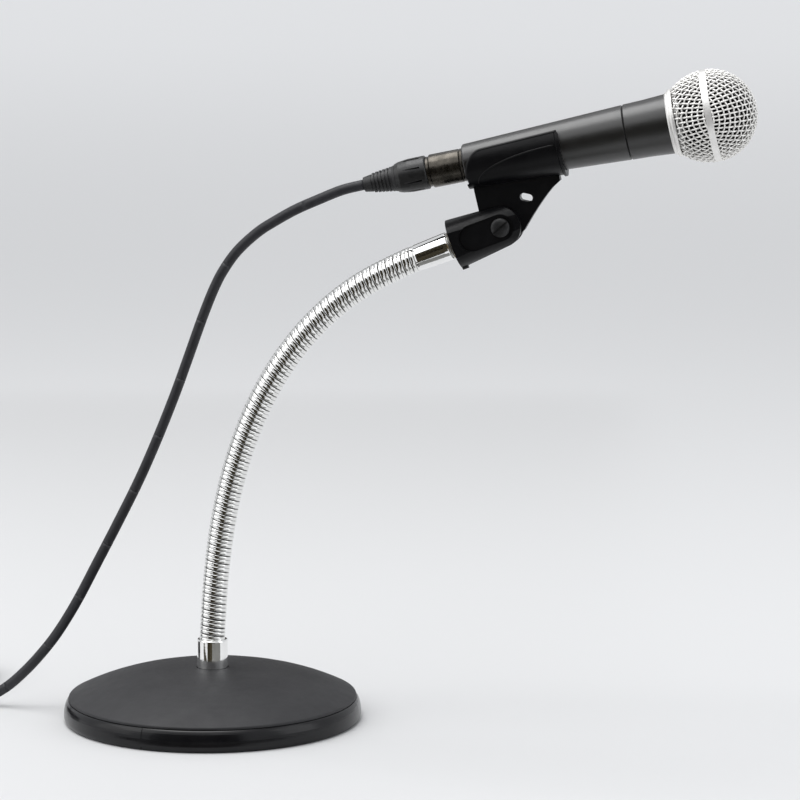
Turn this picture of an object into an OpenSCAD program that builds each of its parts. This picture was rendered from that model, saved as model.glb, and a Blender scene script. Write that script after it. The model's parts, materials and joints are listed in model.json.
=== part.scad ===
// Desktop microphone stand: weighted round base, gooseneck, swivel clip, vocal microphone and lead.
// Millimetres, +Z up. The origin is the centre of the base's underside. The neck bends in the XZ plane.

/* [Base] */
// Diameter over the rubber edge strip
base_d = 174; // [150:1:200]
// Height of the rubber edge strip
strip_h = 12.6; // [10:0.2:14]
// Rise of the dome above the strip
dome_rise = 18; // [14:0.5:22]
// How square the dome's shoulder is, from 2 for a plain bowl
dome_power = 2.6; // [2:0.1:3]
// Thickness of the cast dome
cast_t = 10; // [7:0.5:11]

/* [Gooseneck] */
// Outside diameter of the wound tube
neck_d = 15; // [13:0.5:16]
// Length of one rigid stretch of the neck
link_len = 33.8; // [30:0.2:38]
// Turns of wire in one stretch
link_turns = 7; // [5:1:9]
// Slope of a stretch's end faces, which leaves room to bend
end_slope = 12.5; // [10:0.5:14]
// Diameter of the lower chrome ferrule
low_ferrule_d = 18; // [17:0.5:20]
// Height of the lower chrome ferrule above the dome
low_ferrule_h = 17.4; // [15:0.2:24]

/* [Clip] */
// Length from the socket's face to the pivot
pivot_reach = 29.5; // [28:0.5:34]
// Width across the fork's ears
fork_w = 22; // [20:0.5:24]
// Width of the tongue between the ears
tongue_w = 9; // [8:0.5:10]
// Wall of the sleeve that grips the handle
sleeve_wall = 2.4; // [2:0.1:3]

/* [Microphone] */
// Tilt of the microphone above level, in degrees
mic_tilt = 11.7; // [8:0.1:14]
// Length from the rear end to the middle of the grille
mic_len = 141.2; // [138:0.2:145]
// Radius of the grille
grille_r = 25.5; // [24.5:0.1:26]
// Width of the band round the grille
band_w = 4; // [3:0.5:5]

/* [Lead] */
// Diameter of the cable
cable_d = 6; // [5:0.5:6]

/* [Hidden] */
$fn = 96;

black = [0.07, 0.07, 0.08];
charcoal = [0.2, 0.2, 0.21];
chrome = [0.8, 0.8, 0.82];
silver = [0.72, 0.72, 0.7];
brassy = [0.75, 0.6, 0.3];
gunmetal = [0.38, 0.36, 0.33];

// Standard 5/8 inch stand thread
thread_r = 7.9;
bore_gap = 0.05;

// Base: the dome's edge stands a little above the strip
base_r = base_d / 2;
dome_edge_r = base_r - 2.8;
dome_top = strip_h + dome_rise;
dome_edge_z = strip_h + 1.6;
plate_r = base_r - 5;
edge_round = 1.2;
hollow_r = base_r - 14;
boss_r = 15;
boss_z = 6;
strip_lip = 2;
// Direction of the butt joint in the edge strip, and its width
strip_joint_a = 254;
strip_joint_w = 0.4;

// Neck: eight rigid stretches. Their heading from the vertical grows faster towards the tip
links = 8;
foot_heading = 2.2;
sweep = 69.8;
tip_heading = 69;
headings = [for (k = [0:links - 1]) let (t = (k + 0.5) / links)
  foot_heading + sweep * (0.25 * t + 0.75 * t ^ 2)];
neck_r = neck_d / 2;
neck_z = dome_top + low_ferrule_h;
tip_ferrule_len = 21.8;
tip_ferrule_r = 8.1;
stud_show = 2.5;
insert_depth = 13;
insert_r = 10;
screw_r = 2.5;
nut_r = 5;

function neck_point(k) = k == 0 ? [0, neck_z] : neck_point(k - 1)
  + link_len * [sin(headings[k - 1]), cos(headings[k - 1])];
tip_start = neck_point(links);
tip_dir = [sin(tip_heading), cos(tip_heading)];
pivot = tip_start + (tip_ferrule_len + stud_show + pivot_reach) * tip_dir;

// Microphone: its rear end lies above and behind the pivot
mic_dir = [cos(mic_tilt), sin(mic_tilt)];
pivot_to_axis = 38.3;
pivot_to_rear = 13.8;
mic_rear = pivot - pivot_to_rear * mic_dir + pivot_to_axis * [-mic_dir[1], mic_dir[0]];
handle_r0 = 11.5;
handle_r1 = 15.6;
handle_len = 93.3;
collar_end = 117.8;
collar_r = 16.9;
ring_end = 122;
ring_r = 19.1;
handle_wall = 1.8;
stem_r = 10.5;
sleeve_gap = 0.3;
sleeve_len = 56;

// Connector on the lead, measured back from the microphone's rear end
shell_r = 9.5;
shell_len = 21.5;
nose_r = 7.8;
nose_len = 12.5;
insert_front = 12.3;
grip_end = 40;
boot_end = 59.1;
pin_circle = 4.2;
pin_r = 1.2;
latch_len = 8.6;
latch_w = 6.6;
latch_mid = -9;
latch_travel = 1.2;
latch_out = 0.9;
latch_h = 2.9;
latch_gap = 0.2;

// Coil: four turns side by side, three layers
coil_at = [-206, 60];
coil_mid_r = 42;
coil_side = 4;
coil_layers = 3;
coil_top = coil_layers * cable_d;
far_plug_z = coil_top + shell_r + 0.15;
far_plug_at = [-242, 32 + boot_end];
far_plug_turn = 90;

// Height of the dome's top at a distance from its middle
function dome_z(r) = dome_edge_z
  + (dome_top - dome_edge_z) * (1 - (r / dome_edge_r) ^ dome_power);
// Points of an arc with semi-axes rx and ry round c, from angle a0 to a1
function arc(c, rx, ry, a0, a1, n) =
  [for (i = [0:n]) let (a = a0 + (a1 - a0) * i / n) c + [rx * cos(a), ry * sin(a)]];

module mic_frame()
  translate([mic_rear[0], 0, mic_rear[1]]) rotate([0, 90 - mic_tilt, 0]) children();
module tip_frame()
  translate([tip_start[0], 0, tip_start[1]]) rotate([0, tip_heading, 0]) children();
module far_frame()
  translate([far_plug_at[0], far_plug_at[1], far_plug_z])
    rotate([0, 0, far_plug_turn]) rotate([0, 90, 0]) children();
// The latch is on the connector's far side
module latch_frame()
  mic_frame() rotate([0, 0, -90]) children();
module tube(r, inner, z0, z1)
  translate([0, 0, z0]) difference() {
    cylinder(r = r, h = z1 - z0);
    translate([0, 0, -1]) cylinder(r = inner, h = z1 - z0 + 2);
  }

// ---- Base ----
module base_plate() {
  round_r = dome_edge_r - edge_round / 2;
  round_z = dome_z(round_r) - edge_round * sin(60);
  color(charcoal) difference() {
    union() {
      rotate_extrude() polygon(concat(
        [[0, dome_top]],
        [for (a = [6:6:84]) let (r = round_r * sin(a)) [r, dome_z(r)]],
        arc([dome_edge_r - edge_round, round_z], edge_round, edge_round, 60, 0, 4),
        [[dome_edge_r, strip_h + 0.3], [plate_r, strip_h + 0.3], [plate_r, strip_lip + 0.2],
         [hollow_r, strip_lip + 0.2]],
        [for (t = [1:-0.1:0.05]) [hollow_r * t, dome_z(hollow_r * t) - cast_t]],
        [[0, dome_top - cast_t]]
      ));
      translate([0, 0, boss_z]) cylinder(r = boss_r, h = dome_top - boss_z - 2);
    }
    translate([0, 0, -1]) cylinder(r = thread_r + bore_gap, h = dome_top + 2);
    // Shallow seat for the ferrule's foot
    translate([0, 0, dome_top - 1.2]) cylinder(r = low_ferrule_d / 2 + 0.4, h = 3);
  }
}

module base_edge_strip() {
  side_z = 3.6;
  color(black) difference() {
    rotate_extrude() polygon(concat(
      [[plate_r - 5, 0], [base_r - 2, 0]],
      arc([base_r - 2, side_z], 2, side_z, -60, 0, 4),
      arc([base_r - 3.2, side_z], 3.2, strip_h - side_z, 10, 80, 7),
      [[plate_r + 0.1, strip_h], [plate_r + 0.1, strip_lip], [plate_r - 5, strip_lip]]
    ));
    rotate([0, 0, strip_joint_a]) translate([plate_r - 6, -strip_joint_w / 2, -1])
      cube([10 + strip_joint_w * 2, strip_joint_w, strip_h + 2]);
  }
}

module base_locknut()
  color(chrome) difference() {
    translate([0, 0, 0.8]) cylinder(r = 13, h = boss_z - 0.9, $fn = 6);
    cylinder(r = thread_r + bore_gap, h = 12);
  }

// A cylinder with the crests of its screw thread as rings
module threaded(r, z0, z1) {
  pitch = 0.94;
  turns = floor((z1 - z0 - 1) / pitch);
  translate([0, 0, z0]) rotate_extrude() polygon(concat(
    [[0, 0], [r - 0.6, 0]],
    [for (i = [0:turns - 1]) each [[r - 0.6, 0.4 + i * pitch], [r, 0.4 + (i + 0.5) * pitch]]],
    [[r - 0.6, 0.4 + turns * pitch], [r - 0.6, z1 - z0], [0, z1 - z0]]
  ));
}

module neck_stud()
  color(chrome) threaded(thread_r, 1.4, dome_top - 1.2);

// ---- Gooseneck ----
module lower_ferrule()
  color(chrome) rotate_extrude() polygon(concat(
    [[0, dome_top - 1.2], [low_ferrule_d / 2, dome_top - 1.2]],
    arc([low_ferrule_d / 2 - 1, neck_z - 1.6], 1, 1, 0, 90, 4),
    [[neck_r - 1.5, neck_z - 0.4], [0, neck_z - 0.1]]
  ));

// One stretch of wound tube: a ring for each turn of wire, between sloping ends
module neck_link(k) {
  pitch = link_len / link_turns;
  groove = 0.7;
  rise = neck_r * tan(end_slope);
  at = neck_point(k);
  top = link_len - 0.1;
  top_rise = k == links - 1 ? 0 : rise;
  color(chrome) translate([at[0], 0, at[1]]) rotate([0, headings[k], 0]) rotate_extrude()
    polygon(concat(
      [[0, 0.1], [neck_r - 0.5, 0.1 + rise]],
      [for (i = [1:link_turns - 1]) each [
        [neck_r, i * pitch - 1.1], [neck_r - 0.3, i * pitch - 0.4], [neck_r - groove, i * pitch],
        [neck_r - 0.3, i * pitch + 0.4], [neck_r, i * pitch + 1.1]]],
      [[neck_r - 0.5, top - top_rise], [0, top]]
    ));
}

module upper_ferrule()
  color(chrome) tip_frame() rotate_extrude() polygon(concat(
    [[0, 0.6], [neck_r - 0.4, 1.2], [neck_r, 2]],
    [[tip_ferrule_r, tip_ferrule_len - 3]],
    arc([tip_ferrule_r - 0.8, tip_ferrule_len - 0.8], 0.8, 0.8, 0, 90, 4),
    [[0, tip_ferrule_len]]
  ));

module upper_stud()
  color(chrome) tip_frame()
    threaded(thread_r, tip_ferrule_len, tip_ferrule_len + stud_show + insert_depth - 1);

// ---- Clip ----
module socket_insert()
  color(brassy) tip_frame() translate([0, 0, tip_ferrule_len + stud_show])
    tube(insert_r, thread_r + bore_gap, 0.3, insert_depth);

// Side outline of the fork: a tapering body that ends in a circle round the pivot
module fork_outline(r0, r1) {
  lean = asin((r0 - r1) / pivot_reach);
  polygon([[-r0, 0], [r0, 0], [r1 * cos(lean), pivot_reach + r1 * sin(lean)],
    [-r1 * cos(lean), pivot_reach + r1 * sin(lean)]]);
  translate([0, pivot_reach]) circle(r = r1);
}

// Stadium along the fork's axis, used for the flat pockets on its sides
module pocket_outline(r, from, to)
  union() {
    translate([0, from]) circle(r = r);
    translate([0, to]) circle(r = r);
    translate([-r, from]) square([2 * r, to - from]);
  }

module clip_fork() {
  body_r = 14.3;
  ear_r = 11.5;
  slot_from = 15;
  slot_w = tongue_w + 0.6;
  // The ears stand this far out from the screw's seat
  ear_out = 1.2;
  pocket_depth = 1.6;
  pocket_floor = fork_w / 2 + ear_out - pocket_depth;
  pocket_r = 7.6;
  cut = 6;
  color(black) tip_frame() translate([0, 0, tip_ferrule_len + stud_show]) difference() {
    union() {
      intersection() {
        cylinder(r1 = body_r, r2 = body_r - 1.5, h = pivot_reach + ear_r + 1);
        rotate([90, 0, 0]) translate([0, 0, -fork_w])
          linear_extrude(height = 2 * fork_w) fork_outline(body_r, ear_r);
        translate([-20, -fork_w / 2 - ear_out, 0]) cube([40, fork_w + 2 * ear_out, 60]);
      }
      // Moulded nib under the mouth
      translate([body_r - 1, -1.5, 0]) cylinder(r = 2.2, h = 3.5);
    }
    // Slot for the tongue
    translate([-20, -slot_w / 2, slot_from]) cube([40, slot_w, 60]);
    translate([0, 0, -1]) cylinder(r = insert_r + bore_gap, h = insert_depth + 1.2);
    // Flat pockets on both sides
    for (side = [-1, 1])
      translate([0, side * (pocket_floor + cut / 2), 0]) rotate([90, 0, 0])
        translate([0, 0, -cut / 2]) linear_extrude(height = cut)
          pocket_outline(pocket_r, pivot_reach - 17, pivot_reach);
    translate([0, 0, pivot_reach]) rotate([90, 0, 0])
      cylinder(r = screw_r + bore_gap, h = 60, center = true);
    // Seat for the nut
    translate([0, fork_w / 2 - 2.4, pivot_reach]) rotate([-90, 0, 0])
      cylinder(r = nut_r + 0.1, h = 5, $fn = 6);
  }
}

module pivot_frame()
  translate([pivot[0], 0, pivot[1]]) rotate([0, tip_heading, 0]) rotate([90, 0, 0]) children();

// Slotted round-head screw: the head faces -Y
module pivot_screw() {
  head_r = 5.4;
  head_from = fork_w / 2 - 0.3;
  head_h = 2.4;
  slot_w = 1.1;
  color(black) pivot_frame() difference() {
    union() {
      translate([0, 0, -fork_w / 2 - 0.4]) cylinder(r = screw_r, h = fork_w + 0.2);
      translate([0, 0, head_from]) rotate_extrude() polygon(concat(
        [[0, 0], [head_r, 0]], arc([0, 0.8], head_r, head_h - 0.8, 0, 90, 10)));
    }
    rotate([0, 0, 21]) translate([-slot_w / 2, -8, head_from + head_h - slot_w])
      cube([slot_w, 16, 3]);
  }
}

module pivot_nut()
  color(gunmetal) pivot_frame() translate([0, 0, -fork_w / 2 - 1])
    difference() {
      cylinder(r = nut_r, h = 3.2, $fn = 6);
      translate([0, 0, -1]) cylinder(r = screw_r + bore_gap, h = 6);
    }

// Sleeve that grips the handle, open along the top, on a tongue with a round end.
// Here x is down and z is forward along the microphone
module clip_sleeve() {
  r0 = handle_r0 + sleeve_gap;
  r1 = r0 + (handle_r1 - handle_r0) * sleeve_len / handle_len;
  wall = sleeve_wall;
  lip = 0.9;
  eye_r = 10.6;
  mouth_rear = 6.6;
  mouth_front = 8.5;
  corner_low = 11;
  corner_len = 12;
  root = 1.1;
  foot = [pivot_to_axis, pivot_to_rear];
  front_edge = [for (t = [0:0.125:1]) [19 + 23.5 * t, 51.5 - 25.3 * t ^ 0.8]];
  module sideways(half) rotate([90, 0, 0]) translate([0, 0, -half])
    linear_extrude(height = 2 * half) children();
  color(black) mic_frame() difference() {
    union() {
      rotate_extrude() polygon([[r0, 0], [r0 + wall, 0], [r1 + wall - 0.1, sleeve_len - 2],
        [r1 + wall + lip, sleeve_len - 1.4], [r1 + wall + lip, sleeve_len], [r1, sleeve_len]]);
      sideways(tongue_w / 2) polygon(concat(
        [[r0 + root, 2.5], [16, 2.5], foot - [0, eye_r], foot + [8, 7]],
        [for (i = [len(front_edge) - 1:-1:0]) front_edge[i]], [[r1 + root, 51.5]]));
      sideways(tongue_w / 2) translate(foot) circle(r = eye_r);
    }
    // Opening along the top, with its rear corners rounded away
    sideways(30) polygon(concat([[-30, -1], [corner_low, -1]],
      [for (a = [0:15:90]) [corner_low - (corner_low + mouth_rear) * sin(a),
        corner_len - (corner_len - 1) * cos(a)]],
      [[-mouth_front, sleeve_len + 2], [-30, sleeve_len + 2]]));
    // Pivot bore and the slot-shaped hole in the tongue
    translate([foot[0], 0, foot[1]]) rotate([90, 0, 0])
      cylinder(r = screw_r + bore_gap, h = 40, center = true);
    translate([24.7, 0, 30.8]) rotate([0, 23, 0]) sideways(20) pocket_outline(2.2, -1.5, 1.5);
  }
}

// ---- Microphone ----
module mic_handle()
  color(charcoal) mic_frame() difference() {
    rotate_extrude() polygon([[0, 0], [handle_r0 - 0.8, 0], [handle_r0, 0.8],
      [handle_r1, handle_len - 0.5], [handle_r1 - 0.5, handle_len], [0, handle_len]]);
    translate([0, 0, -1]) cylinder(r = nose_r + 0.15, h = 15);
    translate([0, 0, 20]) cylinder(r1 = handle_r0 - handle_wall + 0.8,
      r2 = handle_r1 - handle_wall, h = handle_len);
    translate([0, 0, 10]) cylinder(r = 7.2, h = 12);
  }

module mic_collar()
  color(charcoal) mic_frame() difference() {
    rotate_extrude() polygon([[0, handle_len + 0.1], [handle_r1 - 0.5, handle_len + 0.1],
      [handle_r1 + 0.1, handle_len + 0.7], [handle_r1 + 0.5, handle_len + 12],
      [collar_r, collar_end], [0, collar_end]]);
    translate([0, 0, handle_len - 1]) cylinder(r = handle_r1 - handle_wall, h = 40);
  }

module grille_ring()
  color(silver) mic_frame() rotate_extrude() polygon([
    [collar_r - 1.8, collar_end + 0.05], [collar_r + 0.2, collar_end + 0.05],
    [collar_r + 0.9, collar_end + 0.9], [collar_r + 1, collar_end + 1.7],
    [ring_r - 0.3, collar_end + 2.1], [ring_r, collar_end + 2.6], [ring_r, ring_end - 0.4],
    [ring_r - 0.4, ring_end], [collar_r - 1.8, ring_end]]);

// Half of the grille's ball as a shell t thick, front (+1) or rear (-1) of its band
module ball_half(r, t, side) {
  b = side > 0 ? r : r + 2;
  start = asin(band_w / 2 / b);
  // The rear half stops at the ring
  stop = side > 0 ? 90 : asin((mic_len - ring_end - 0.1) / b);
  outer = arc([0, 0], r, b, start, stop, 12);
  inner = arc([0, 0], r - t, b - t, stop, start, 12);
  translate([0, 0, mic_len]) mirror([0, 0, side > 0 ? 0 : 1])
    rotate_extrude() polygon([for (p = concat(outer, inner)) [max(0, p[0]), p[1]]]);
}

module grille_rear()
  color(silver) mic_frame() ball_half(grille_r, 1.1, -1);
module grille_front()
  color(silver) mic_frame() ball_half(grille_r, 1.1, 1);
module grille_band()
  color(silver) mic_frame() tube(grille_r + 0.5, grille_r - 1, mic_len - band_w / 2 + 0.1,
    mic_len + band_w / 2 - 0.1);

// Foam liner just inside the wire mesh
module grille_foam()
  color(black) mic_frame() translate([0, 0, mic_len]) rotate_extrude() polygon([
    for (p = concat(arc([0, 0], grille_r - 1.5, grille_r - 1.5, -42, 90, 20),
      arc([0, 0], grille_r - 4, grille_r - 4, 90, -42, 20))) [max(0, p[0]), p[1]]]);

// Capsule in front of the ring, on a stem that the rubber mount holds
module mic_cartridge() {
  capsule_from = ring_end + 0.4;
  capsule_h = 10;
  color(silver) mic_frame() difference() {
    union() {
      translate([0, 0, 97]) cylinder(r = stem_r, h = capsule_from - 97);
      translate([0, 0, capsule_from]) cylinder(r = 15.2, h = capsule_h);
    }
    translate([0, 0, capsule_from + capsule_h - 1.2]) cylinder(r = 13.6, h = 3);
  }
}

module cartridge_mount()
  color(black) mic_frame() tube(handle_r1 - handle_wall - 0.1, stem_r + bore_gap, 105, 112);

module mic_transformer()
  color(brassy) mic_frame() tube(9.4, 3, 40, 62);

module mic_socket()
  color(black) mic_frame() difference() {
    translate([0, 0, 14.2]) cylinder(r = 7.1, h = 5.4);
    for (i = [0:2]) rotate([0, 0, 60 + 120 * i]) translate([pin_circle, 0, 10])
      cylinder(r = pin_r + bore_gap, h = 12, $fn = 32);
  }

module mic_pins()
  color(silver) mic_frame() for (i = [0:2])
    rotate([0, 0, 60 + 120 * i]) translate([pin_circle, 0, 3]) cylinder(r = pin_r, h = 17, $fn = 32);

// ---- Lead ----
// Metal shell of a cable connector. The nose plugs into the microphone
module connector_shell(nose)
  difference() {
    union() {
      rotate_extrude() polygon([[0, -shell_len], [shell_r - 0.9, -shell_len],
        [shell_r - 0.9, -shell_len + 1.4], [shell_r, -shell_len + 2.2],
        [shell_r, -2.4], [shell_r - 0.4, -1.9], [shell_r, -1.4], [shell_r - 0.3, -0.4], [0, -0.4]]);
      if (nose) translate([0, 0, -1]) cylinder(r = nose_r, h = nose_len + 1);
    }
    translate([0, 0, -shell_len - 1]) cylinder(r = 7.1, h = shell_len + nose_len + 3);
  }

module plug_shell()
  color(gunmetal) difference() {
    mic_frame() connector_shell(true);
    latch_frame() translate([-shell_r - 1, -latch_w / 2 - latch_gap, latch_mid - latch_len / 2 - latch_gap])
      cube([5, latch_w + 2 * latch_gap, latch_len + 2 * latch_gap]);
  }

module plug_latch()
  color(gunmetal) latch_frame() difference() {
    translate([-shell_r - latch_out, -latch_w / 2, latch_mid - latch_len / 2])
      cube([latch_h, latch_w, latch_len]);
    for (i = [-1:1]) translate([-shell_r - 1.2, -latch_w, latch_mid + i * 2.2 - 0.4])
      cube([0.7, 2 * latch_w, 0.8]);
  }

module plug_insert() {
  pocket_to = latch_h - latch_out - shell_r + latch_travel + latch_gap;
  color(black) difference() {
    mic_frame() translate([0, 0, -18]) cylinder(r = 7, h = 18 + insert_front);
    mic_frame() for (i = [0:2]) rotate([0, 0, 60 + 120 * i]) translate([pin_circle, 0, 0])
      cylinder(r = pin_r + 0.2, h = 20, $fn = 32);
    // Room for the latch to sink
    latch_frame() translate([-8, -latch_w / 2 - 2 * latch_gap, latch_mid - latch_len / 2 - 2 * latch_gap])
      cube([8 + pocket_to, latch_w + 4 * latch_gap, latch_len + 4 * latch_gap]);
  }
}

// Ribbed bushing that holds the shell and the boot together
module connector_grip()
  difference() {
    rotate_extrude() polygon([[4.2, -grip_end], [8, -grip_end], [8.8, -grip_end + 2.4],
      [shell_r, -grip_end + 8], [shell_r + 0.1, -shell_len - 1], [shell_r - 0.6, -shell_len - 0.3],
      [4.2, -shell_len - 0.3]]);
    for (i = [0:7]) rotate([0, 0, 22.5 + 45 * i]) translate([shell_r - 0.2, -0.6, -grip_end + 3])
      rotate([0, -5, 0]) cube([3, 1.2, 12]);
  }

// Tapered strain relief with grooves
module connector_boot() {
  rings = 6;
  pitch = 2.1;
  first = boot_end - 4.6;
  function boot_r(d) = 7.6 - 2.6 * (d - grip_end) / (boot_end - grip_end);
  rotate_extrude() polygon(concat(
    [[cable_d / 2 + bore_gap, -boot_end], [4.2, -boot_end], [5, -first]],
    [for (i = [0:rings - 1]) let (d = first - i * pitch) each [
      [boot_r(d) - 1, -d + 0.1], [boot_r(d) - 1, -d + 0.8],
      [boot_r(d), -d + 0.9], [boot_r(d), -d + pitch]]],
    [[7.6, -grip_end - 0.2], [cable_d / 2 + bore_gap, -grip_end - 0.2]]
  ));
}

module plug_grip()
  color(black) mic_frame() connector_grip();
module plug_boot()
  color(black) mic_frame() connector_boot();

// Route of the lead from the boot down to the coil
lead_start = mic_rear - boot_end * mic_dir;
lead_route = [
  [lead_start[0], 0, lead_start[1]],
  [77.5, 0, 310.5], [64, 0, 305], [50.5, 0.5, 299], [38, 0.5, 292], [28, 1, 285.5],
  [16.5, 1, 275], [8, 1.5, 263.5], [2, 1.5, 252], [-5, 2, 235], [-13.5, 2.5, 212],
  [-22, 3, 189.5], [-33, 3.5, 163], [-44, 4.5, 139], [-56, 5, 115.5], [-69, 5.5, 91],
  [-82.5, 6.5, 66], [-94, 7, 47.5], [-104, 7.5, 34.5], [-115, 7.5, 22.5], [-127, 8, 12],
  [-139, 8.5, 5.5], [-152, 9, 3], [-166, 9, 3], [-180, 9, 3], [-192, 9, 3]
];
// Route from the top of the coil into the far connector
tail_route = [
  [-184, 27, 15], [-195, 19.5, 19], [-209, 15, 21.5], [-222, 14, 24], [-234, 18, 26.5],
  [-240.5, 25, 27.5], [-242, 32, 27.5]
];

function catmull(p, i, t) =
  let (n = len(p) - 1, a = p[max(0, i - 1)], b = p[i], c = p[min(n, i + 1)], d = p[min(n, i + 2)])
  0.5 * (2 * b + (c - a) * t + (2 * a - 5 * b + 4 * c - d) * t ^ 2
    + (3 * b - a - 3 * c + d) * t ^ 3);
function smooth_route(p, steps) = concat(
  [for (i = [0:len(p) - 2], k = [0:steps - 1]) catmull(p, i, k / steps)], [p[len(p) - 1]]);
function unit(v) = v / norm(v);

// Tube of round section swept along points. The route never runs along ref
module swept(p, r, sides, ref) {
  n = len(p);
  rings = [for (i = [0:n - 1])
    let (
      t = unit(p[min(n - 1, i + 1)] - p[max(0, i - 1)]),
      side = unit(cross(t, ref)),
      up = cross(side, t)
    )
    for (k = [0:sides - 1]) p[i] + r * (side * cos(360 * k / sides) + up * sin(360 * k / sides))];
  walls = [for (i = [0:n - 2], k = [0:sides - 1])
    let (a = i * sides + k, b = i * sides + (k + 1) % sides) [a, b, b + sides, a + sides]];
  polyhedron(rings, concat(
    [[for (k = [sides - 1:-1:0]) k]], walls, [[for (k = [0:sides - 1]) (n - 1) * sides + k]]));
}

module cable_lead()
  color(black) swept(smooth_route(lead_route, 2), cable_d / 2, 10, [0, 1, 0]);
module cable_tail()
  color(black) swept(smooth_route(tail_route, 2), cable_d / 2, 10, [0, 0, 1]);

module cable_coil() {
  half = coil_side * cable_d / 2;
  soft = 3;
  color(black) translate([coil_at[0], coil_at[1], 0]) rotate_extrude() polygon(concat(
    arc([coil_mid_r - half + soft, soft], soft, soft, 180, 270, 3),
    arc([coil_mid_r + half - soft, soft], soft, soft, 270, 360, 3),
    arc([coil_mid_r + half - soft, coil_top - soft], soft, soft, 0, 90, 3),
    arc([coil_mid_r - half + soft, coil_top - soft], soft, soft, 90, 180, 3)));
}

// Hook-and-loop strap closed round the bundle of turns
module cable_tie() {
  half = coil_side * cable_d / 2;
  width = 14;
  tie_turn = 35;
  color(charcoal) translate([coil_at[0], coil_at[1], 0]) rotate([0, 0, tie_turn])
    translate([coil_mid_r, 0, coil_top / 2]) difference() {
      cube([2 * half + 2.6, width, coil_top], center = true);
      cube([2 * half + 0.2, width + 2, coil_top + 2], center = true);
    }
}

module far_plug_shell()
  color(gunmetal) far_frame() union() {
    connector_shell(false);
    tube(shell_r, shell_r - 0.9, -0.4, 9);
  }
module far_plug_insert()
  color(black) far_frame() translate([0, 0, -16]) cylinder(r = 7, h = 12);
module far_plug_pins()
  color(silver) far_frame() for (i = [0:2])
    rotate([0, 0, 60 + 120 * i]) translate([pin_circle, 0, -4]) cylinder(r = pin_r, h = 11, $fn = 32);
module far_plug_grip()
  color(black) far_frame() connector_grip();
module far_plug_boot()
  color(black) far_frame() connector_boot();

base_plate();
base_edge_strip();
base_locknut();
neck_stud();
lower_ferrule();
for (k = [1:links])
  neck_link(k - 1);
upper_ferrule();
upper_stud();
socket_insert();
clip_fork();
pivot_screw();
pivot_nut();
clip_sleeve();
mic_handle();
mic_collar();
grille_ring();
grille_rear();
grille_band();
grille_front();
grille_foam();
mic_cartridge();
cartridge_mount();
mic_transformer();
mic_socket();
mic_pins();
plug_shell();
plug_latch();
plug_insert();
plug_grip();
plug_boot();
cable_lead();
cable_coil();
cable_tie();
cable_tail();
far_plug_boot();
far_plug_grip();
far_plug_shell();
far_plug_insert();
far_plug_pins();
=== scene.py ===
import json
import math

import bpy
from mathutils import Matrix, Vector


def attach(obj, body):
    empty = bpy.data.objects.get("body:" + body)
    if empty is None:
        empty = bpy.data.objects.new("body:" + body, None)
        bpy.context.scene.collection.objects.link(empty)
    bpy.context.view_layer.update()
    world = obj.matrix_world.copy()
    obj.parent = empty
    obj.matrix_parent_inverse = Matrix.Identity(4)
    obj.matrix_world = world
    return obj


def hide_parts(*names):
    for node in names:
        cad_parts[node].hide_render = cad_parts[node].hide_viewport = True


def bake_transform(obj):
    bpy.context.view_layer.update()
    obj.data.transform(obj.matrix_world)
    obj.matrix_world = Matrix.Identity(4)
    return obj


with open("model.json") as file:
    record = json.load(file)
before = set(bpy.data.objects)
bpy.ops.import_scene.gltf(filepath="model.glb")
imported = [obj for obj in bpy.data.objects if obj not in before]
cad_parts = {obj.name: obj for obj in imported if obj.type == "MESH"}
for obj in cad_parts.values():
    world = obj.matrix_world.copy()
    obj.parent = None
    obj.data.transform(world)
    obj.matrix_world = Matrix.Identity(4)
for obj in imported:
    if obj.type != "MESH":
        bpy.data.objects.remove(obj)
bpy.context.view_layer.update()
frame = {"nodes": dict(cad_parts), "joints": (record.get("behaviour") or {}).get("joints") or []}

MM = 0.001
Y = Vector((0, 1, 0))
joints = {j["name"]: j for j in frame["joints"]}
nodes = frame["nodes"]

# ---- Places, from the frame's joints ----
LINKS = 8
neck_points = [Vector(joints[("bend_%d" if k % 2 == 0 else "sway_%d") % (k // 2 + 1)]["pos_m"])
               for k in range(LINKS)]
# In millimetres: from the clip's pivot back and up to the handle's tail, and back to the neck's tip
TAIL_BACK, TAIL_UP, TIP_BACK = 13.8, 38.3, 53.8
TIP_ANGLE = math.radians(69)
pivot = Vector(joints["clip_tilt"]["pos_m"])
mic_dir = Vector(joints["mic_slide"]["axis"]).normalized()
mic_up = Vector((-mic_dir.z, 0, mic_dir.x))
mic_rear = pivot - mic_dir * TAIL_BACK * MM + mic_up * TAIL_UP * MM
tip_dir = Vector((math.sin(TIP_ANGLE), 0, math.cos(TIP_ANGLE)))
neck_points.append(pivot - tip_dir * TIP_BACK * MM)


def on_mic(along, up, side=0.0):
    """A point in the microphone's own frame, in millimetres."""
    return mic_rear + (mic_dir * along + mic_up * up + Y * side) * MM


# ---- Camera ----
VIEW_TURN = math.radians(8.5)
VIEW_TILT = math.radians(7.9355)
camera = bpy.data.objects.new("camera", bpy.data.cameras.new("camera"))
bpy.context.collection.objects.link(camera)
camera.data.lens = 144
camera.data.sensor_width = 36
camera.data.clip_end = 50
camera.location = (0.37975, -1.79831, 0.44386)
towards_camera = Vector((math.sin(VIEW_TURN) * math.cos(VIEW_TILT),
                         -math.cos(VIEW_TURN) * math.cos(VIEW_TILT), math.sin(VIEW_TILT)))
camera.rotation_mode = "QUATERNION"
camera.rotation_quaternion = (-towards_camera).to_track_quat("-Z", "Y")
bpy.context.scene.camera = camera


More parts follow.
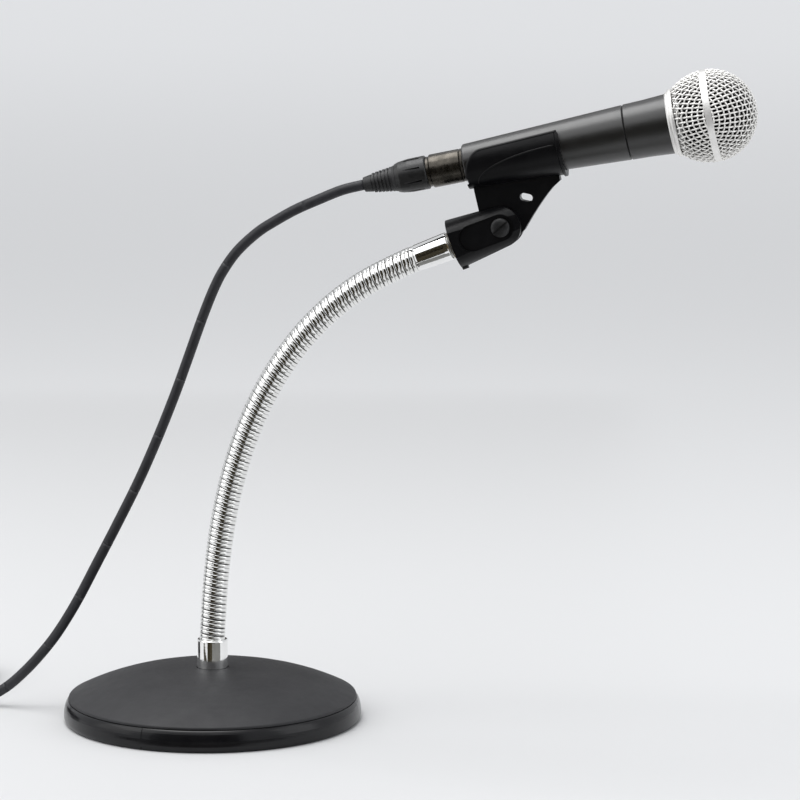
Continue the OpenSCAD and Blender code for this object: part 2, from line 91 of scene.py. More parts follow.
# ---- Materials ----
def new_material(name):
    """A material with its shader, and the object's coordinates in millimetres."""
    mat = bpy.data.materials.new(name)
    mat.use_nodes = True
    tree = mat.node_tree
    shader = tree.nodes["Principled BSDF"]
    coords = tree.nodes.new("ShaderNodeTexCoord")
    scale = tree.nodes.new("ShaderNodeMapping")
    scale.inputs["Scale"].default_value = (1000, 1000, 1000)
    tree.links.new(coords.outputs["Object"], scale.inputs["Vector"])
    return mat, tree, shader, scale.outputs["Vector"]


def noise(tree, vector, size, detail=4.0, rough=0.55):
    """Noise whose features are about size millimetres across."""
    node = tree.nodes.new("ShaderNodeTexNoise")
    node.inputs["Scale"].default_value = 1 / size
    node.inputs["Detail"].default_value = detail
    node.inputs["Roughness"].default_value = rough
    tree.links.new(vector, node.inputs["Vector"])
    return node.outputs["Fac"]


def spread(tree, value, low, high, start=0.3, end=0.7):
    """Value from start to end, stretched to run from low to high."""
    node = tree.nodes.new("ShaderNodeMapRange")
    for name, number in (("From Min", start), ("From Max", end), ("To Min", low), ("To Max", high)):
        node.inputs[name].default_value = number
    tree.links.new(value, node.inputs["Value"])
    return node.outputs["Result"]


def blend_colors(tree, factor, first, second):
    node = tree.nodes.new("ShaderNodeMix")
    node.data_type = "RGBA"
    node.inputs[6].default_value = (*first, 1)
    node.inputs[7].default_value = (*second, 1)
    tree.links.new(factor, node.inputs["Factor"])
    return node.outputs[2]


def add_bump(tree, shader, height, depth, onto=None):
    """Bump of the given depth in millimetres, on top of an earlier one."""
    node = tree.nodes.new("ShaderNodeBump")
    node.inputs["Distance"].default_value = depth * MM
    tree.links.new(height, node.inputs["Height"])
    if onto is not None:
        tree.links.new(onto, node.inputs["Normal"])
    tree.links.new(node.outputs["Normal"], shader.inputs["Normal"])
    return node.outputs["Normal"]


def finish_material(name, color, dark, rough, metal=0.0, mottle=12.0, grain=None, scuffs=None,
                    specular=0.5):
    """A surface with mottled colour and roughness, a fine grain and light scuffs.

    rough is (lowest, highest). grain is (size, depth) in millimetres. scuffs is (size, depth).
    """
    mat, tree, shader, place = new_material(name)
    shader.inputs["Metallic"].default_value = metal
    shader.inputs["Specular IOR Level"].default_value = specular
    patches = noise(tree, place, mottle)
    tree.links.new(blend_colors(tree, spread(tree, patches, 0, 1), color, dark),
                   shader.inputs["Base Color"])
    wear = noise(tree, place, mottle / 3, 6, 0.7)
    tree.links.new(spread(tree, wear, rough[0], rough[1]), shader.inputs["Roughness"])
    last = None
    if grain:
        last = add_bump(tree, shader, noise(tree, place, grain[0], 3), grain[1])
    if scuffs:
        streaks = tree.nodes.new("ShaderNodeMapping")
        streaks.inputs["Rotation"].default_value = (0.4, 0.7, 0.2)
        streaks.inputs["Scale"].default_value = (1, 14, 14)
        tree.links.new(place, streaks.inputs["Vector"])
        lines = noise(tree, streaks.outputs["Vector"], scuffs[0], 2)
        add_bump(tree, shader, spread(tree, lines, 0, 1, 0.62, 0.7), scuffs[1], last)
    return mat


base_enamel = finish_material("base_enamel", (0.021, 0.021, 0.023), (0.013, 0.013, 0.015),
                              (0.52, 0.62), grain=(0.5, 0.08), mottle=25, specular=0.45)
edge_rubber = finish_material("edge_rubber", (0.004, 0.004, 0.005), (0.007, 0.007, 0.008),
                              (0.14, 0.26), grain=(2.5, 0.01), scuffs=(9, 0.008), specular=0.3)
steel = finish_material("steel", (0.5, 0.5, 0.49), (0.38, 0.38, 0.37), (0.25, 0.4), 1.0,
                        grain=(0.4, 0.01), scuffs=(5, 0.01))
chrome = finish_material("chrome", (0.9, 0.9, 0.89), (0.84, 0.84, 0.83), (0.035, 0.09), 1.0,
                         mottle=9, grain=(6, 0.012), scuffs=(7, 0.003))
neck_chrome = finish_material("neck_chrome", (0.86, 0.86, 0.85), (0.8, 0.8, 0.78),
                              (0.06, 0.13), 1.0, mottle=5, grain=(2.2, 0.008), scuffs=(4, 0.003))
clip_plastic = finish_material("clip_plastic", (0.0016, 0.0016, 0.0022), (0.003, 0.003, 0.0036),
                               (0.3, 0.42), grain=(0.28, 0.025), scuffs=(6, 0.012), mottle=14,
                               specular=0.2)
screw_black = finish_material("screw_black", (0.008, 0.008, 0.009), (0.02, 0.02, 0.02),
                              (0.3, 0.45), 0.3, mottle=3, grain=(0.4, 0.02), scuffs=(2, 0.02))
brass = finish_material("brass", (0.6, 0.43, 0.2), (0.45, 0.31, 0.14), (0.22, 0.36), 1.0,
                        grain=(0.5, 0.01))
copper = finish_material("copper", (0.55, 0.27, 0.13), (0.4, 0.18, 0.08), (0.3, 0.45), 1.0,
                         grain=(0.3, 0.04))
handle_enamel = finish_material("handle_enamel", (0.0062, 0.0058, 0.0053), (0.0045, 0.0043, 0.004),
                                (0.3, 0.37), 0.0, mottle=18, grain=(0.22, 0.02),
                                scuffs=(8, 0.004), specular=0.8)
grille_silver = finish_material("grille_silver", (0.95, 0.94, 0.92), (0.86, 0.85, 0.82),
                                (0.3, 0.45), 0.6, mottle=4, grain=(0.3, 0.02))
band_silver = finish_material("band_silver", (0.88, 0.87, 0.85), (0.8, 0.79, 0.77),
                              (0.32, 0.46), 0.6, mottle=8, grain=(0.25, 0.02), scuffs=(5, 0.01))
nickel = finish_material("dark_nickel", (0.105, 0.096, 0.083), (0.05, 0.046, 0.04), (0.2, 0.36), 1.0,
                         mottle=6, grain=(0.6, 0.01), scuffs=(4, 0.01))
foam_black = finish_material("foam_black", (0.006, 0.006, 0.006), (0.012, 0.012, 0.012),
                             (0.9, 1.0), grain=(0.5, 0.4), mottle=1.5, specular=0.1)
moulded = finish_material("moulded_black", (0.005, 0.005, 0.0055), (0.009, 0.009, 0.009),
                          (0.3, 0.42), grain=(0.3, 0.02), mottle=5, scuffs=(3, 0.01))
jacket = finish_material("cable_jacket", (0.014, 0.014, 0.017), (0.022, 0.022, 0.026),
                         (0.42, 0.56), grain=(0.35, 0.02), mottle=8, specular=0.4)
boot_rubber = finish_material("boot_rubber", (0.009, 0.009, 0.01), (0.014, 0.014, 0.015),
                              (0.42, 0.6), grain=(0.4, 0.03), mottle=4)
pin_silver = finish_material("pin_silver", (0.7, 0.69, 0.66), (0.5, 0.49, 0.46), (0.2, 0.3), 1.0,
                             grain=(0.5, 0.01), mottle=2)


def paint_groove_shade(mat):
    """Painted shade between the wires, from the skins' own groove values."""
    tree = mat.node_tree
    shader = tree.nodes["Principled BSDF"]
    groove = tree.nodes.new("ShaderNodeAttribute")
    groove.attribute_name = "groove"
    clean = shader.inputs["Base Color"].links[0].from_socket
    mixed = tree.nodes.new("ShaderNodeMix")
    mixed.data_type = "RGBA"
    # Colour of the painted shade in the grooves
    mixed.inputs[7].default_value = (0.035, 0.033, 0.03, 1)
    tree.links.new(groove.outputs["Fac"], mixed.inputs["Factor"])
    tree.links.new(clean, mixed.inputs[6])
    tree.links.new(mixed.outputs[2], shader.inputs["Base Color"])


paint_groove_shade(neck_chrome)


def strap_material():
    """Hook-and-loop tape: rows of short loops."""
    mat, tree, shader, place = new_material("strap_fabric")
    loops = tree.nodes.new("ShaderNodeTexVoronoi")
    loops.inputs["Scale"].default_value = 1.6
    tree.links.new(place, loops.inputs["Vector"])
    # Lighter on the loops and darker between them: painted shade between the loops
    shade = blend_colors(tree, spread(tree, loops.outputs["Distance"], 0, 1, 0.1, 0.6),
                         (0.035, 0.035, 0.038), (0.012, 0.012, 0.013))
    tree.links.new(shade, shader.inputs["Base Color"])
    shader.inputs["Roughness"].default_value = 0.9
    shader.inputs["Sheen Weight"].default_value = 0.4
    add_bump(tree, shader, loops.outputs["Distance"], 0.4)
    return mat


strap_fabric = strap_material()

PAINT = {
    base_enamel: ["base_plate"],
    edge_rubber: ["base_edge_strip"],
    steel: ["base_locknut", "neck_stud", "upper_stud", "pivot_nut", "mic_cartridge"],
    chrome: ["lower_ferrule", "upper_ferrule"],
    neck_chrome: ["neck_link_%d" % k for k in range(1, LINKS + 1)],
    clip_plastic: ["clip_fork", "clip_sleeve"],
    screw_black: ["pivot_screw"],
    brass: ["socket_insert"],
    copper: ["mic_transformer"],
    handle_enamel: ["mic_handle", "mic_collar"],
    band_silver: ["grille_ring", "grille_band"],
    grille_silver: ["grille_front", "grille_rear"],
    foam_black: ["grille_foam"],
    nickel: ["plug_shell", "plug_latch", "far_plug_shell"],
    moulded: ["plug_insert", "plug_grip", "mic_socket", "far_plug_insert", "far_plug_grip"],
    boot_rubber: ["plug_boot", "far_plug_boot", "cartridge_mount"],
    jacket: ["cable_lead", "cable_coil", "cable_tail"],
    pin_silver: ["mic_pins", "far_plug_pins"],
    strap_fabric: ["cable_tie"],
}


def paint(obj, mat):
    obj.data.materials.clear()
    obj.data.materials.append(mat)


for finish, names in PAINT.items():
    for name in names:
        paint(nodes[name], finish)


# ---- Mesh helpers ----
def mesh_piece(name, verts, faces, mat):
    mesh = bpy.data.meshes.new(name)
    mesh.from_pydata([tuple(v) for v in verts], [], faces)
    mesh.polygons.foreach_set("use_smooth", [True] * len(mesh.polygons))
    mesh.update()
    obj = bpy.data.objects.new(name, mesh)
    bpy.context.collection.objects.link(obj)
    obj.data.materials.append(mat)
    return obj


def carried_frames(points, side):
    """Tangent, side and up at each point, carried along without twist."""
    last = len(points) - 1
    result = []
    for i in range(last + 1):
        tangent = (points[min(i + 1, last)] - points[max(i - 1, 0)]).normalized()
        side = (side - tangent * side.dot(tangent)).normalized()
        result.append((tangent, side, tangent.cross(side)))
    return result


def tube(points, radius, sides, side=Y, verts=None, faces=None):
    """A closed tube along points, added to verts and faces if they are given."""
    verts = [] if verts is None else verts
    faces = [] if faces is None else faces
    first = len(verts)
    for i, (_, across, up) in enumerate(carried_frames(points, side)):
        for k in range(sides):
            a = 2 * math.pi * k / sides
            verts.append(points[i] + (across * math.cos(a) + up * math.sin(a)) * radius)
    for i in range(len(points) - 1):
        for k in range(sides):
            a = first + i * sides + k
            b = first + i * sides + (k + 1) % sides
            faces.append((a, b, b + sides, a + sides))
    end = first + (len(points) - 1) * sides
    faces.append(tuple(range(first + sides - 1, first - 1, -1)))
    faces.append(tuple(range(end, end + sides)))
    return verts, faces


def lengths_along(points):
    total = [0.0]
    for a, b in zip(points, points[1:]):
        total.append(total[-1] + (b - a).length)
    return total


def smooth_route(points, steps):
    """Catmull-Rom curve through the points."""
    last = len(points) - 1
    result = []
    for i in range(last):
        a, b = points[max(0, i - 1)], points[i]
        c, d = points[i + 1], points[min(last, i + 2)]
        for k in range(steps):
            t = k / steps
            result.append(0.5 * (2 * b + (c - a) * t + (2 * a - 5 * b + 4 * c - d) * t ** 2
                                 + (3 * b - a - 3 * c + d) * t ** 3))
    result.append(points[last])
    return result


def resample(points, start, end, count):
    """count + 1 evenly spaced points between two lengths along a polyline."""
    run = lengths_along(points)
    result = []
    i = 0
    for k in range(count + 1):
        s = min(start + (end - start) * k / count, run[-1])
        while i < len(run) - 2 and run[i + 1] < s:
            i += 1
        t = (s - run[i]) / (run[i + 1] - run[i])
        result.append(points[i].lerp(points[i + 1], t))
    return result


# ---- Cable ----
CABLE_D = 6 * MM
CABLE_SIDES = 16
RING_STEP = 1.8 * MM
BOOT_END = -59.1
boot_end = on_mic(BOOT_END, 0)
# The route down to the desk, in millimetres, as in the CAD
LEAD_ROUTE = [
    (77.5, 0, 310.5), (64, 0, 305), (50.5, 0.5, 299), (38, 0.5, 292), (28, 1, 285.5),
    (16.5, 1, 275), (8, 1.5, 263.5), (2, 1.5, 252), (-5, 2, 235), (-13.5, 2.5, 212),
    (-22, 3, 189.5), (-33, 3.5, 163), (-44, 4.5, 139), (-56, 5, 115.5), (-69, 5.5, 91),
    (-82.5, 6.5, 66), (-94, 7, 47.5), (-104, 7.5, 34.5), (-115, 7.5, 22.5), (-127, 8, 12),
    (-139, 8.5, 5.5), (-152, 9, 3), (-166, 9, 3), (-180, 9, 3), (-192, 9, 3),
]
TAIL_ROUTE = [
    (-184, 27, 15), (-195, 19.5, 19), (-209, 15, 21.5), (-222, 14, 24), (-234, 18, 26.5),
    (-240.5, 25, 27.5), (-242, 32, 27.5),
]
COIL_AT = Vector((-206, 60, 0)) * MM
COIL_MID_R = 42 * MM
LAYER_TURNS = 3.5
LAST_TURNS = 1.9
COIL_STEPS = 120


def coil_points():
    """Three layers of turns: in, out and in again, wound clockwise seen from above."""
    inner = COIL_MID_R - 1.5 * CABLE_D
    outer = COIL_MID_R + 1.5 * CABLE_D
    turns = 2 * LAYER_TURNS + LAST_TURNS
    result = []
    for i in range(round(turns * COIL_STEPS)):
        turn = i / COIL_STEPS
        layer = min(2, int(turn / LAYER_TURNS))
        within = turn - layer * LAYER_TURNS
        change = min(within, 3) * CABLE_D
        r = inner + change if layer == 1 else outer - change
        # The last half turn of a layer climbs to the next
        climb = max(0.0, within - 3) / 0.5 if layer < 2 else 0.0
        climb = climb * climb * (3 - 2 * climb)
        angle = -math.pi / 2 - 2 * math.pi * turn
        result.append(COIL_AT + Vector((r * math.cos(angle), r * math.sin(angle),
                                        CABLE_D * (0.5 + layer + climb))))
    return result


lead = smooth_route([boot_end] + [Vector(p) * MM for p in LEAD_ROUTE], 12)
lead_length = lengths_along(lead)[-1]

# The hanging part bends in stretches, one for each joint between the microphone and the base.
# The clip turns furthest, so its stretch is the longest
STRETCHES = [("holder", "microphone", 37), ("neck_8", "holder", 58)]
STRETCHES += [("base" if k == 1 else "neck_%d" % (k - 1), "neck_%d" % k, 36.4)
              for k in range(LINKS, 0, -1)]
at = 0.0
for lower, upper, size in STRETCHES:
    count = round(size * MM / RING_STEP)
    path = resample(lead, at, at + size * MM, count)
    path.reverse()
    verts, faces = tube(path, CABLE_D / 2, CABLE_SIDES)
    piece = mesh_piece("cable_" + upper, verts, faces, jacket)
    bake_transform(piece)
    if upper == "microphone":
        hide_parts("cable_lead")
    at += size * MM

on_desk = resample(lead, at, lead_length, round((lead_length - at) / RING_STEP))
tail = smooth_route([Vector(p) * MM for p in TAIL_ROUTE], 8)
main_path = on_desk + coil_points() + tail
main_length = lengths_along(main_path)[-1]
main_path = resample(main_path, 0, main_length, round(main_length / RING_STEP))
verts, faces = tube(main_path, CABLE_D / 2, CABLE_SIDES)
cable_main = mesh_piece("cable_main", verts, faces, jacket)
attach(cable_main, "base")
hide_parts("cable_coil", "cable_tail")


# ---- Strap round the coil ----
def strap_outline(half_width, height, thickness, corner, count=9):
    """Rounded rectangle round the bundle, as (across, up) pairs from the middle of its foot."""
    result = []
    for cx, cz, start in ((half_width - corner, height - corner, 0),
                          (-half_width + corner, height - corner, 90),
                          (-half_width + corner, corner, 180), (half_width - corner, corner, 270)):
        for k in range(count):
            a = math.radians(start + 90 * k / (count - 1))
            result.append((cx + (corner + thickness) * math.cos(a),
                           cz + (corner + thickness) * math.sin(a)))
    return result


def strap_piece():
    """The strap with its loose end lapped over the top."""
    turn = math.radians(35)
    out = Vector((math.cos(turn), math.sin(turn), 0))
    along = Vector((-out.y, out.x, 0))
    half_width, height, width = 12.6 * MM, 18.2 * MM, 14 * MM
    thick = 1.0 * MM
    centre = COIL_AT + out * COIL_MID_R
    inner = strap_outline(half_width, height, 0, 4 * MM)
    outer = strap_outline(half_width, height, thick, 4 * MM)
    verts, faces = [], []
    count = len(inner)
    for x, z in inner + outer:
        for side in (-0.5, 0.5):
            verts.append(centre + out * x + along * width * side + Vector((0, 0, max(0.0002, z))))
    for i in range(count):
        a, b = 2 * i, 2 * ((i + 1) % count)
        c, d = a + 2 * count, b + 2 * count
        faces += [(c, c + 1, d + 1, d), (a, b, b + 1, a + 1), (a, c, d, b),
                  (a + 1, b + 1, d + 1, c + 1)]
    # The lapped end: a tab along the top
    first = len(verts)
    steps = 10
    for i in range(steps + 1):
        x = half_width * (0.75 - 1.35 * i / steps)
        lift = height + thick + 0.05 * MM + 0.9 * MM * max(0, i - steps + 3) / 3
        narrow = 1 - 0.35 * max(0, i - steps + 2) / 2
        for side in (-0.48, 0.48):
            for z in (lift, lift + thick):
                verts.append(centre + out * x + along * width * side * narrow + Vector((0, 0, z)))
    for i in range(steps):
        a = first + 4 * i
        b = a + 4
        faces += [(a, a + 2, b + 2, b), (a + 1, b + 1, b + 3, a + 3), (a, b, b + 1, a + 1),
                  (a + 2, a + 3, b + 3, b + 2)]
    end = first + 4 * steps
    faces += [(first, first + 1, first + 3, first + 2), (end, end + 2, end + 3, end + 1)]
    piece = mesh_piece("coil_strap", verts, faces, strap_fabric)
    bevel = piece.modifiers.new("soft_edges", "BEVEL")
    bevel.width = 0.25 * MM
    bevel.segments = 2
    bevel.limit_method = "ANGLE"
    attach(piece, "base")
    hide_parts("cable_tie")
    return piece


strap = strap_piece()

# ---- Gooseneck ----
NECK_R = 7.5 * MM
WIND_PITCH = 4.83 * MM
NECK_SIDES = 60
NECK_STEPS = 1600
# How far the skin runs on past the neck's tip
TIP_RUN = 1.6 * MM
# How far the middle line runs on past each end, and how far before the tip its last corner lies
FOOT_EXTRA, TIP_EXTRA, TIP_CORNER = 6 * MM, 12 * MM, 4 * MM
# One turn's profile: (share of the pitch, depth in millimetres, painted shade). A deep groove
# between the turns, and a shallow one between the two wires of a turn
WIRE_PROFILE = [
    (0.0, 0.85, 1.0), (0.03, 0.6, 0.9), (0.05, 0.3, 0.3), (0.085, 0.14, 0.0), (0.14, 0.06, 0.0),
    (0.21, 0.015, 0.0), (0.29, 0.0, 0.0), (0.37, 0.02, 0.0), (0.44, 0.08, 0.0),
    (0.485, 0.17, 0.0), (0.51, 0.38, 0.55), (0.535, 0.38, 0.55), (0.56, 0.17, 0.0),
    (0.61, 0.09, 0.0), (0.68, 0.035, 0.0), (0.76, 0.02, 0.0), (0.84, 0.06, 0.0),
    (0.905, 0.15, 0.0), (0.945, 0.3, 0.3), (0.97, 0.6, 0.9),
]
PROFILE_COUNT = len(WIRE_PROFILE)


def neck_line():
    """The neck's middle line, a little past both ends, and where each skin meets the next."""
    middles = [a.lerp(b, 0.5) for a, b in zip(neck_points, neck_points[1:])]
    foot = (neck_points[1] - neck_points[0]).normalized()
    line = [neck_points[0] - foot * FOOT_EXTRA, neck_points[0]]
    joins = [lengths_along(line)[-1]]
    line += [neck_points[0].lerp(middles[0], k / 20) for k in range(1, 21)]
    joins.append(lengths_along(line)[-1])
    corners = neck_points[1:-1] + [neck_points[-1] - tip_dir * TIP_CORNER]
    ends = middles[1:] + [neck_points[-1] + tip_dir * TIP_RUN]
    for corner, end in zip(corners, ends):
        a = line[-1]
        line += [a * (1 - t) ** 2 + corner * 2 * t * (1 - t) + end * t ** 2
                 for t in (i / 80 for i in range(1, 81))]
        joins.append(lengths_along(line)[-1])
    line.append(line[-1] + tip_dir * TIP_EXTRA)
    return line, joins


def neck_skins():
    """Wires wound side by side as one sheet along their helix, cut into a skin for each joint."""
    line, joins = neck_line()
    total = lengths_along(line)[-1]
    fine = resample(line, 0, total, NECK_STEPS)
    step = total / NECK_STEPS
    frames = carried_frames(fine, Y)
    tip = joins[-1] - TIP_RUN

    def neck_vertex(g, k):
        share, depth, dark = WIRE_PROFILE[g % PROFILE_COUNT]
        s = joins[0] + WIND_PITCH * (g // PROFILE_COUNT + share - k / NECK_SIDES)
        at = min(NECK_STEPS - 1.0, s / step)
        i = int(at)
        centre = fine[i].lerp(fine[i + 1], at - i)
        _, across, up = frames[i]
        a = 2 * math.pi * k / NECK_SIDES
        sunk = min(1.0, max(0.0, (s - tip + 0.3 * MM) / (1.2 * MM)))
        r = NECK_R - (depth + 0.5 * sunk) * MM
        return centre + (across * math.cos(a) + up * math.sin(a)) * r, dark

    turns = [round((join - joins[0]) / WIND_PITCH) for join in joins]
    turns[-1] = math.ceil((tip + 0.8 * MM - joins[0]) / WIND_PITCH) + 1
    for k in range(LINKS + 1):
        first, last = turns[k] * PROFILE_COUNT, turns[k + 1] * PROFILE_COUNT
        verts, groove_shade, at = [], [], {}
        for g in range(first, last + 1):
            for side in range(NECK_SIDES + 1):
                if side == NECK_SIDES and g - PROFILE_COUNT >= first:
                    at[g, side] = at[g - PROFILE_COUNT, 0]
                    continue
                at[g, side] = len(verts)
                vertex, dark = neck_vertex(g, side)
                verts.append(vertex)
                groove_shade.append(dark)
        faces = [(at[g, i], at[g, i + 1], at[g + 1, i + 1], at[g + 1, i])
                 for g in range(first, last) for i in range(NECK_SIDES)]
        skin = mesh_piece("neck_skin_%d" % k, verts, faces, neck_chrome)
        # Each vertex's painted shade in the grooves, for the neck's material
        groove = skin.data.attributes.new("groove", "FLOAT", "POINT")
        groove.data.foreach_set("value", groove_shade)
        if k == LINKS:
            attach(skin, "neck_8")
        else:
            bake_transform(skin)
        if k > 0:
            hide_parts("neck_link_%d" % k)


neck_skins()


# ---- Woven grille ----
BALL_AT = 141.2
GRILLE_R = 25.3
WIRE_R = 0.5
WIRE_PITCH = 3.1
WEAVE = 0.42
# The rear half is drawn out a little, and its mesh starts at the ring; angles from the ball's axis
REAR_STRETCH = 1.075
FRONT_EDGE, REAR_EDGE, RING_EDGE = 86, 86.5, 46.5


def ball_point(u, v, lift, side):
    """A point of flat cloth (u, v) laid over the ball. side is 1 for the front, -1 for the rear."""
    rho = math.hypot(u, v)
    polar = rho / GRILLE_R
    stretch = 1 if side > 0 else REAR_STRETCH
    out = math.sin(polar) * (GRILLE_R + lift)
    along = math.cos(polar) * (GRILLE_R + lift) * stretch
    if rho < 1e-6:
        return on_mic(BALL_AT + side * along, 0)
    return on_mic(BALL_AT + side * along, out * v / rho, -out * u / rho)


def woven_half(name, side, low_rho, high_rho, node):
    """Two sets of wires that pass over and under each other."""
    verts, faces = [], []
    lines = int(high_rho / WIRE_PITCH)
    step = WIRE_PITCH / 5
    for across in (0, 1):
        for n in range(-lines, lines + 1):
            fixed = n * WIRE_PITCH
            reach = math.sqrt(max(0.0, high_rho ** 2 - fixed ** 2))
            count = int(2 * reach / step)
            run = []
            for i in range(count + 1):
                moving = -reach + 2 * reach * i / max(1, count)
                keep = math.hypot(fixed, moving) >= low_rho
                if keep:
                    wave = math.cos(math.pi * (moving / WIRE_PITCH + n + across))
                    u, v = (moving, fixed) if across == 0 else (fixed, moving)
                    run.append(ball_point(u, v, WEAVE * wave, side))
                if run and (not keep or i == count):
                    if len(run) > 3:
                        middle = run[len(run) // 2] - on_mic(BALL_AT, 0)
                        tube(run, WIRE_R * MM, 6, middle.normalized(), verts, faces)
                    run = []
    piece = mesh_piece(name, verts, faces, grille_silver)
    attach(piece, "microphone")
    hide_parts(node)


woven_half("grille_wire_front", 1, 0, GRILLE_R * math.radians(FRONT_EDGE), "grille_front")
woven_half("grille_wire_rear", -1, GRILLE_R * math.radians(RING_EDGE),
           GRILLE_R * math.radians(REAR_EDGE), "grille_rear")


# ---- Moulded detail on the clip ----
SLEEVE_R0, SLEEVE_R1, SLEEVE_LEN, SLEEVE_WALL = 11.8, 14.26, 56, 2.4


def sleeve_radius(along):
    return SLEEVE_R0 + (SLEEVE_R1 - SLEEVE_R0) * along / SLEEVE_LEN


def sleeve_surface(along, up, proud, side):
    """A point on the sleeve's outside at this height."""
    r = sleeve_radius(along) + SLEEVE_WALL + proud
    return on_mic(along, up, side * math.sqrt(max(0.0, r * r - up * up)))


# The mouth's edge: where its round rear corner ends, that corner's width, its foot's height, and the
# straight part's height at its rear and front ends
CORNER_END, CORNER_WIDTH, CORNER_FOOT, EDGE_REAR, EDGE_FRONT = 12, 11, -11, 6.6, 8.5
# The ridge on each side: a quarter of an ellipse, from its rear foot
RIDGE_FOOT, RIDGE_RUN, RIDGE_RISE = (7, -11.5), 46, 13
# Where the bead along the mouth's edge starts and how far it runs, and the two round sections
BEAD_START, BEAD_RUN, BEAD_R, RIDGE_R = 1.2, 54.4, 1.25, 0.55


def mouth_height(along):
    """Height of the sleeve's top edge, with its rear corner rounded away."""
    if along < CORNER_END:
        c = (CORNER_END - along) / CORNER_WIDTH
        rise = EDGE_REAR - CORNER_FOOT
        return CORNER_FOOT + rise * math.sqrt(max(0.0, 1 - min(1.0, c) ** 2))
    share = (along - CORNER_END) / (SLEEVE_LEN - CORNER_END)
    return EDGE_REAR + (EDGE_FRONT - EDGE_REAR) * share


def sleeve_beads():
    """A rounded bead along each edge of the sleeve's mouth, and a curved ridge on each side."""
    verts, faces = [], []
    for side in (-1, 1):
        edge = []
        for i in range(61):
            along = BEAD_START + BEAD_RUN * (i / 60) ** 1.4
            up = mouth_height(along)
            r = sleeve_radius(along) + SLEEVE_WALL * 0.5
            edge.append(on_mic(along, up, side * math.sqrt(max(0.0, r * r - up * up))))
        tube(edge, BEAD_R * MM, 12, mic_up, verts, faces)
        ridge = []
        for i in range(41):
            a = math.pi / 2 * i / 40
            ridge.append(sleeve_surface(RIDGE_FOOT[0] + RIDGE_RUN * (1 - math.cos(a)),
                                        RIDGE_FOOT[1] + RIDGE_RISE * math.sin(a), -0.25, side))
        tube(ridge, RIDGE_R * MM, 10, mic_up, verts, faces)
    piece = mesh_piece("sleeve_beads", verts, faces, clip_plastic)
    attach(piece, "holder")


sleeve_beads()


# ---- Floor, lights and surroundings ----
def floor_material():
    mat, tree, shader, place = new_material("floor")
    distance = tree.nodes.new("ShaderNodeVectorMath")
    distance.operation = "LENGTH"
    tree.links.new(place, distance.inputs[0])
    decades = tree.nodes.new("ShaderNodeMath")
    decades.operation = "LOGARITHM"
    decades.inputs[1].default_value = 10
    tree.links.new(distance.outputs["Value"], decades.inputs[0])
    # The floor's tone changes with distance and is brightest far off: painted light that sets how
    # bright the floor looks near and far
    ramp = tree.nodes.new("ShaderNodeValToRGB")
    ramp.color_ramp.interpolation = "B_SPLINE"
    stops = ramp.color_ramp.elements
    for spot, tone in zip((stops[0], stops[1]), (0.69, 0.93)):
        spot.color = (tone, tone * 1.004, tone * 1.012, 1)
    # From 0.1 m out to 100 m
    for at, tone in ((0.2, 0.72), (0.33, 0.69), (0.46, 0.7), (0.6, 0.84), (0.72, 0.93)):
        spot = stops.new(at)
        spot.color = (tone, tone * 1.004, tone * 1.012, 1)
    tree.links.new(spread(tree, decades.outputs["Value"], 0, 1, 2, 5), ramp.inputs["Fac"])
    tree.links.new(ramp.outputs["Color"], shader.inputs["Base Color"])
    shader.inputs["Roughness"].default_value = 0.55
    shader.inputs["Specular IOR Level"].default_value = 0.3
    return mat


def flat_card(name, corners, mat):
    card = mesh_piece(name, corners, [(0, 1, 2, 3)], mat)
    return card


FLOOR_HALF = 80.0
flat_card("floor", [(-FLOOR_HALF, -FLOOR_HALF, 0), (FLOOR_HALF, -FLOOR_HALF, 0),
                    (FLOOR_HALF, FLOOR_HALF, 0), (-FLOOR_HALF, FLOOR_HALF, 0)], floor_material())


def card_material(name, dark, light):
    """Mottled card that shows only its inner side, so the floor doesn't mirror the card above it."""
    mat, tree, shader, place = new_material(name)
    tree.links.new(blend_colors(tree, spread(tree, noise(tree, place, 220, 2), 0, 1), dark, light),
                   shader.inputs["Base Color"])
    shader.inputs["Roughness"].default_value = 1
    shader.inputs["Specular IOR Level"].default_value = 0
    facing = tree.nodes.new("ShaderNodeNewGeometry")
    clear = tree.nodes.new("ShaderNodeBsdfTransparent")
    either = tree.nodes.new("ShaderNodeMixShader")
    tree.links.new(facing.outputs["Backfacing"], either.inputs[0])
    tree.links.new(clear.outputs["BSDF"], either.inputs[1])
    tree.links.new(shader.outputs["BSDF"], either.inputs[2])
    tree.links.new(either.outputs["Shader"], tree.nodes["Material Output"].inputs["Surface"])
    return mat


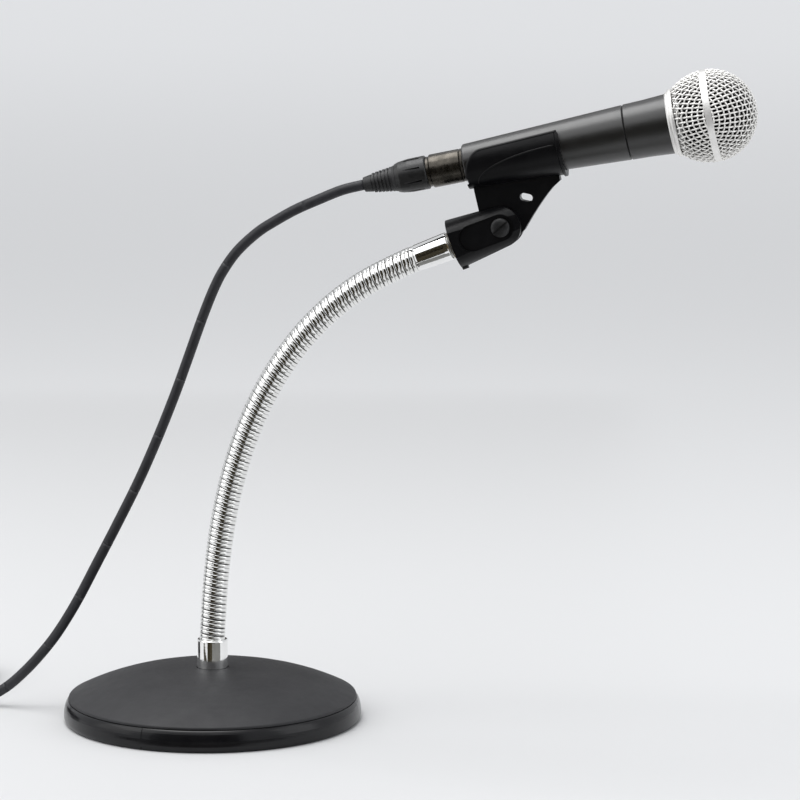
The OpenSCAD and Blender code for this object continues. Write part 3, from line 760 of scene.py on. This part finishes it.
def reflected_cards():
    """Cards seen only in reflections, as a studio is dark behind its camera."""
    black = card_material("black_card", (0.008, 0.007, 0.005), (0.07, 0.06, 0.04))
    grey = card_material("grey_card", (0.12, 0.12, 0.115), (0.22, 0.22, 0.21))
    # (name, colour, turn from the camera, half widths, near and far distance, low and high edge)
    for name, mat, turn, near_half, far_half, near, far, low, high in (
            ("front", black, -10, 1.0, 1.0, 1.45, 1.45, 0.01, 1.15),
            ("desk_far", black, -10, 0.14, 0.48, 0.3, 1.45, 0.006, 0.01),
            ("desk_rim", black, -6, 0.16, 0.2, 0.094, 0.135, 0.0015, 0.0025),
            ("desk_dark", black, -16, 0.045, 0.09, 0.137, 0.3, 0.003, 0.006),
            ("desk_grey", grey, 32, 0.08, 0.19, 0.137, 0.3, 0.003, 0.006),
            ("back", black, 180, 0.35, 0.35, 1.45, 1.45, 0.05, 1.0)):
        a = VIEW_TURN - math.pi / 2 + math.radians(turn)
        out = Vector((math.cos(a), math.sin(a), 0))
        across = Vector((-out.y, out.x, 0))
        first, last = out * near + Vector((0, 0, low)), out * far + Vector((0, 0, high))
        card = flat_card("card_" + name,
                         [first - across * near_half, first + across * near_half,
                          last + across * far_half, last - across * far_half], mat)
        card.visible_camera = False
        card.visible_diffuse = False
        card.visible_shadow = False


reflected_cards()


def area_light(name, place, target, size, power, color=(1, 1, 1)):
    light = bpy.data.objects.new(name, bpy.data.lights.new(name, "AREA"))
    bpy.context.collection.objects.link(light)
    light.data.shape = "RECTANGLE"
    light.data.size, light.data.size_y = size
    light.data.energy = power
    light.data.color = color
    light.location = place
    light.rotation_mode = "QUATERNION"
    light.rotation_quaternion = (Vector(target) - Vector(place)).to_track_quat("-Z", "Y")


area_light("top", (-0.3, 0.1, 1.9), (0.05, 0, 0.1), (1.3, 1.0), 15)
area_light("left", (-1.9, -0.7, 1.2), (0, 0, 0.25), (1.5, 2.0), 7, (1, 0.99, 0.97))
area_light("right", (1.9, -0.3, 1.0), (0.05, 0, 0.25), (1.2, 1.8), 7, (0.97, 0.985, 1))

sky = bpy.data.objects.new("sky", bpy.data.lights.new("sky", "SUN"))
bpy.context.collection.objects.link(sky)
sky.data.energy = 1.15
sky.data.angle = math.radians(80)
sky.rotation_euler = (math.radians(22), math.radians(-18), 0)

world = bpy.data.worlds.new("surroundings")
bpy.context.scene.world = world
world.use_nodes = True
background = world.node_tree.nodes["Background"]
background.inputs["Color"].default_value = (0.86, 0.875, 0.9, 1)
# The surroundings look brighter than the light that they shed
rays = world.node_tree.nodes.new("ShaderNodeLightPath")
brightness = spread(world.node_tree, rays.outputs["Is Diffuse Ray"], 0.82, 0.56, 0, 1)
lift = world.node_tree.nodes.new("ShaderNodeMath")
lift.operation = "MULTIPLY_ADD"
lift.inputs[1].default_value = 0.08
world.node_tree.links.new(rays.outputs["Is Camera Ray"], lift.inputs[0])
world.node_tree.links.new(brightness, lift.inputs[2])
world.node_tree.links.new(lift.outputs["Value"], background.inputs["Strength"])
bpy.context.scene.view_settings.view_transform = "Standard"
